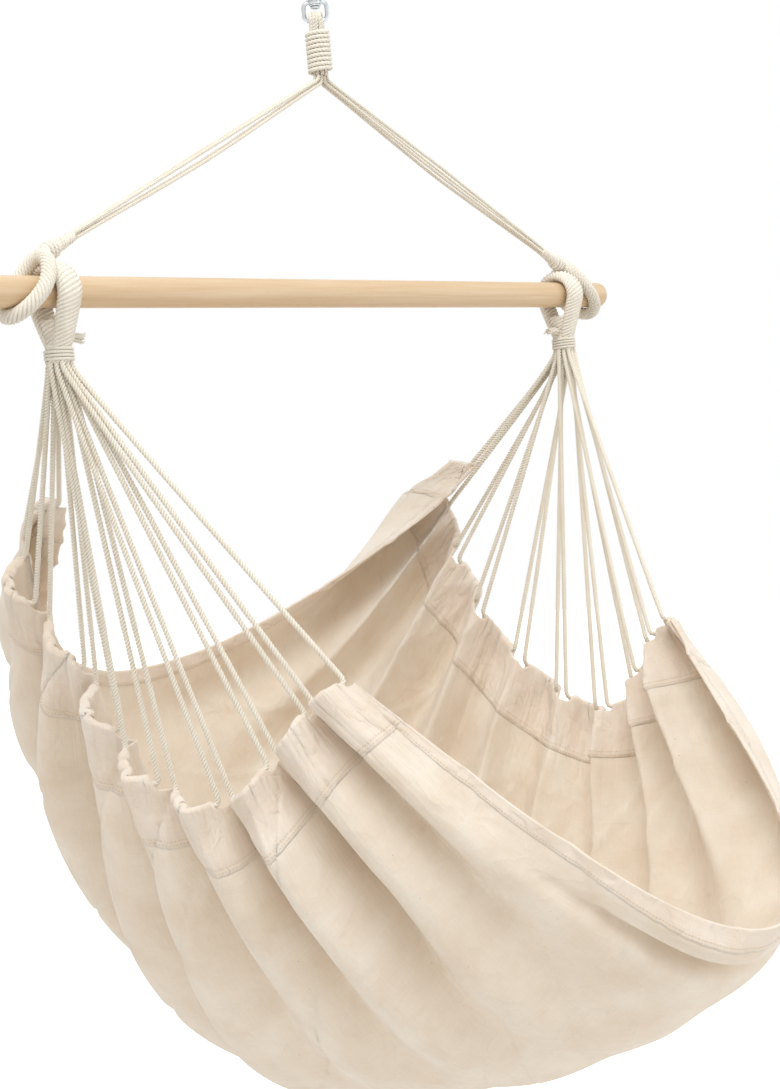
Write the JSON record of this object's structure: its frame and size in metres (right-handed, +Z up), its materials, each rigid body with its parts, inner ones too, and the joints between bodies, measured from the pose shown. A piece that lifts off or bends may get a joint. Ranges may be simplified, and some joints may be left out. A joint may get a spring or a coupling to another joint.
{
  "type": "hammock chair",
  "caption": "Hammock chair: a deep draped cotton seat hung by fans of cord from a round wooden spreader bar, which hangs by a rope bridle from a steel swivel.",
  "frame": {"origin": "the inside top of the swivel's upper eye, where the ceiling hook bears", "axes": "+Z up, +X along the spreader bar to the sitter's left, -Y towards the front of the seat"},
  "size_m": [1, 0.8414, 1.2347],
  "materials": {
    "zinc_steel": "zinc plated, satin",
    "cotton_rope": "natural twisted cotton rope",
    "cotton_cord": "natural twisted cotton cord",
    "beech": "steamed beech, clear oiled",
    "canvas": "plain woven natural cotton canvas",
    "hemming": "folded and stitched cotton canvas"
  },
  "bodies": {
    "swivel_top": {"upper_eye": "zinc_steel", "swivel_pin": "zinc_steel", "thrust_washer": "zinc_steel"},
    "swivel_bow": {"stirrup": "zinc_steel"},
    "bridle": {"rope_eye": "cotton_rope", "eye_whipping": "cotton_rope", "noose_left": "cotton_rope", "noose_right": "cotton_rope", "bridle_cord_left_1": "cotton_cord", "bridle_cord_left_2": "cotton_cord", "bridle_cord_left_3": "cotton_cord", "bridle_cord_left_4": "cotton_cord", "bridle_cord_right_1": "cotton_cord", "bridle_cord_right_2": "cotton_cord", "bridle_cord_right_3": "cotton_cord", "bridle_cord_right_4": "cotton_cord"},
    "bar": {"spreader_bar": "beech"},
    "sling": {"sling_loop_left": "cotton_rope", "sling_loop_right": "cotton_rope", "collar_left": "cotton_rope", "collar_right": "cotton_rope", "collar_tail_left": "cotton_rope", "collar_tail_right": "cotton_rope", "seat_cloth": "canvas", "front_hem": "hemming", "back_hem": "hemming", "side_hem_left": "hemming", "side_hem_right": "hemming", "cord_loop_left_1": "cotton_cord", "cord_loop_left_2": "cotton_cord", "cord_loop_left_3": "cotton_cord", "cord_loop_left_4": "cotton_cord", "cord_loop_left_5": "cotton_cord", "cord_loop_left_6": "cotton_cord", "cord_loop_left_7": "cotton_cord", "cord_loop_left_8": "cotton_cord", "cord_loop_left_9": "cotton_cord", "cord_loop_right_1": "cotton_cord", "cord_loop_right_2": "cotton_cord", "cord_loop_right_3": "cotton_cord", "cord_loop_right_4": "cotton_cord", "cord_loop_right_5": "cotton_cord", "cord_loop_right_6": "cotton_cord", "cord_loop_right_7": "cotton_cord", "cord_loop_right_8": "cotton_cord", "cord_loop_right_9": "cotton_cord"}
  },
  "joints": [
    {"name": "swivel_spin", "type": "hinge", "parent": "swivel_top", "child": "swivel_bow", "pos_m": [0, 0, -0.045], "axis": [0, 0, 1], "continuous": true},
    {"name": "eye_swing", "type": "hinge", "parent": "swivel_bow", "child": "bridle", "pos_m": [0, 0, -0.0652], "axis": [0.6293, -0.7771, 0], "range_deg": [-60, 60]},
    {"name": "bar_roll", "type": "hinge", "parent": "bridle", "child": "bar", "pos_m": [0, 0, -0.356], "axis": [1, 0, 0], "continuous": true},
    {"name": "sling_tilt", "type": "hinge", "parent": "bridle", "child": "sling", "pos_m": [0, 0, -0.356], "axis": [1, 0, 0], "range_deg": [-35, 35]}
  ]
}
